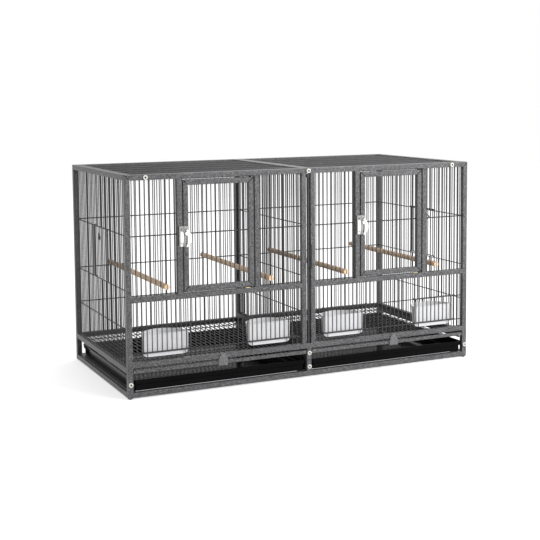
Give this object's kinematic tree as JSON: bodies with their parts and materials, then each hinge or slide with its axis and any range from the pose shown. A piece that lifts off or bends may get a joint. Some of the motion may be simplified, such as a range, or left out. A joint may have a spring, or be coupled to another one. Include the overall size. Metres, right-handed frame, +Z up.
{
  "type": "bird breeding cage",
  "caption": "Long wire cage split by a slide-out divider, with hinged doors, lifting feeder doors over bowls, perches, slide-out floor grates and trays.",
  "frame": {"origin": "on the floor, under the middle of the overall footprint", "axes": "+X to the right along the front of the cage, +Y from the front to the back, +Z up"},
  "size_m": [0.9646, 0.4754, 0.53],
  "materials": {
    "hammertone_enamel": "hammered",
    "wire_enamel": "semi-gloss",
    "bright_zinc": "zinc plated",
    "white_plastic": "gloss",
    "black_plastic": "gloss",
    "beech_dowel": "sanded, unvarnished",
    "rubber_foot": "matte"
  },
  "bodies": {
    "cage": {"front_frame": "hammertone_enamel", "back_panel": "hammertone_enamel", "top_centre_rail": "hammertone_enamel", "centre_runner": "hammertone_enamel", "left_inner_grille": "wire_enamel", "left_outer_grille": "wire_enamel", "left_lower_grille": "wire_enamel", "left_side_panel": "hammertone_enamel", "left_top_panel": "wire_enamel", "left_base_rail": "hammertone_enamel", "left_inner_perch": "beech_dowel", "left_outer_perch": "beech_dowel", "left_top_bolt": "bright_zinc", "left_corner_bolt": "bright_zinc", "left_front_foot": "rubber_foot", "left_back_foot": "rubber_foot", "left_latch_keeper": "bright_zinc", "right_inner_grille": "wire_enamel", "right_outer_grille": "wire_enamel", "right_lower_grille": "wire_enamel", "right_side_panel": "hammertone_enamel", "right_top_panel": "wire_enamel", "right_base_rail": "hammertone_enamel", "right_inner_perch": "beech_dowel", "right_outer_perch": "beech_dowel", "right_top_bolt": "bright_zinc", "right_corner_bolt": "bright_zinc", "right_front_foot": "rubber_foot", "right_back_foot": "rubber_foot", "right_latch_keeper": "bright_zinc", "centre_top_bolt": "bright_zinc", "centre_upper_bolt": "bright_zinc", "centre_lower_bolt": "bright_zinc"},
    "left_door": {"left_door": "hammertone_enamel", "left_latch_plate": "bright_zinc"},
    "left_latch_lever": {"left_latch_lever": "bright_zinc"},
    "left_inner_feeder_door": {"left_inner_feeder_door": "wire_enamel"},
    "left_outer_feeder_door": {"left_outer_feeder_door": "wire_enamel"},
    "left_inner_bowl": {"left_inner_bowl": "white_plastic"},
    "left_outer_bowl": {"left_outer_bowl": "white_plastic"},
    "left_nest_door": {"left_nest_door": "wire_enamel"},
    "left_floor_grate": {"left_floor_grate": "wire_enamel", "left_grate_tab": "hammertone_enamel"},
    "left_tray": {"left_tray": "black_plastic"},
    "right_door": {"right_door": "hammertone_enamel", "right_latch_plate": "bright_zinc"},
    "right_latch_lever": {"right_latch_lever": "bright_zinc"},
    "right_inner_feeder_door": {"right_inner_feeder_door": "wire_enamel"},
    "right_outer_feeder_door": {"right_outer_feeder_door": "wire_enamel"},
    "right_inner_bowl": {"right_inner_bowl": "white_plastic"},
    "right_outer_bowl": {"right_outer_bowl": "white_plastic"},
    "right_nest_door": {"right_nest_door": "wire_enamel"},
    "right_floor_grate": {"right_floor_grate": "wire_enamel", "right_grate_tab": "hammertone_enamel"},
    "right_tray": {"right_tray": "black_plastic"},
    "divider": {"divider": "wire_enamel"}
  },
  "joints": [
    {"name": "left_door_hinge", "type": "hinge", "parent": "cage", "child": "left_door", "pos_m": [-0.15675, -0.21425, 0.245], "axis": [0, 0, 1], "range_deg": [0, 105]},
    {"name": "left_latch_turn", "type": "hinge", "parent": "left_door", "child": "left_latch_lever", "pos_m": [-0.32675, -0.22355, 0.386], "axis": [0, -1, 0], "range_deg": [0, 90]},
    {"name": "left_inner_feeder_slide", "type": "slide", "parent": "cage", "child": "left_inner_feeder_door", "axis": [0, 0, 1], "range_m": [0, 0.05]},
    {"name": "left_inner_bowl_lift", "type": "slide", "parent": "cage", "child": "left_inner_bowl", "axis": [0, 0, 1], "range_m": [0, 0.03]},
    {"name": "left_outer_feeder_slide", "type": "slide", "parent": "cage", "child": "left_outer_feeder_door", "axis": [0, 0, 1], "range_m": [0, 0.05]},
    {"name": "left_outer_bowl_lift", "type": "slide", "parent": "cage", "child": "left_outer_bowl", "axis": [0, 0, 1], "range_m": [0, 0.03]},
    {"name": "left_nest_slide", "type": "slide", "parent": "cage", "child": "left_nest_door", "axis": [0, 0, 1], "range_m": [0, 0.12]},
    {"name": "left_grate_slide", "type": "slide", "parent": "cage", "child": "left_floor_grate", "axis": [0, 1, 0], "range_m": [-0.4, 0]},
    {"name": "left_tray_slide", "type": "slide", "parent": "cage", "child": "left_tray", "axis": [0, -1, 0], "range_m": [0, 0.4]},
    {"name": "right_door_hinge", "type": "hinge", "parent": "cage", "child": "right_door", "pos_m": [0.32675, -0.21425, 0.245], "axis": [0, 0, 1], "range_deg": [0, 105]},
    {"name": "right_latch_turn", "type": "hinge", "parent": "right_door", "child": "right_latch_lever", "pos_m": [0.15675, -0.22355, 0.386], "axis": [0, -1, 0], "range_deg": [0, 90]},
    {"name": "right_inner_feeder_slide", "type": "slide", "parent": "cage", "child": "right_inner_feeder_door", "axis": [0, 0, 1], "range_m": [0, 0.05]},
    {"name": "right_inner_bowl_lift", "type": "slide", "parent": "cage", "child": "right_inner_bowl", "axis": [0, 0, 1], "range_m": [0, 0.03]},
    {"name": "right_outer_feeder_slide", "type": "slide", "parent": "cage", "child": "right_outer_feeder_door", "axis": [0, 0, 1], "range_m": [0, 0.05]},
    {"name": "right_outer_bowl_lift", "type": "slide", "parent": "cage", "child": "right_outer_bowl", "axis": [0, 0, 1], "range_m": [0, 0.03]},
    {"name": "right_nest_slide", "type": "slide", "parent": "cage", "child": "right_nest_door", "axis": [0, 0, 1], "range_m": [0, 0.12]},
    {"name": "right_grate_slide", "type": "slide", "parent": "cage", "child": "right_floor_grate", "axis": [0, 1, 0], "range_m": [-0.4, 0]},
    {"name": "right_tray_slide", "type": "slide", "parent": "cage", "child": "right_tray", "axis": [0, -1, 0], "range_m": [0, 0.4]},
    {"name": "divider_slide", "type": "slide", "parent": "cage", "child": "divider", "axis": [0, -1, 0], "range_m": [0, 0.42]}
  ]
}
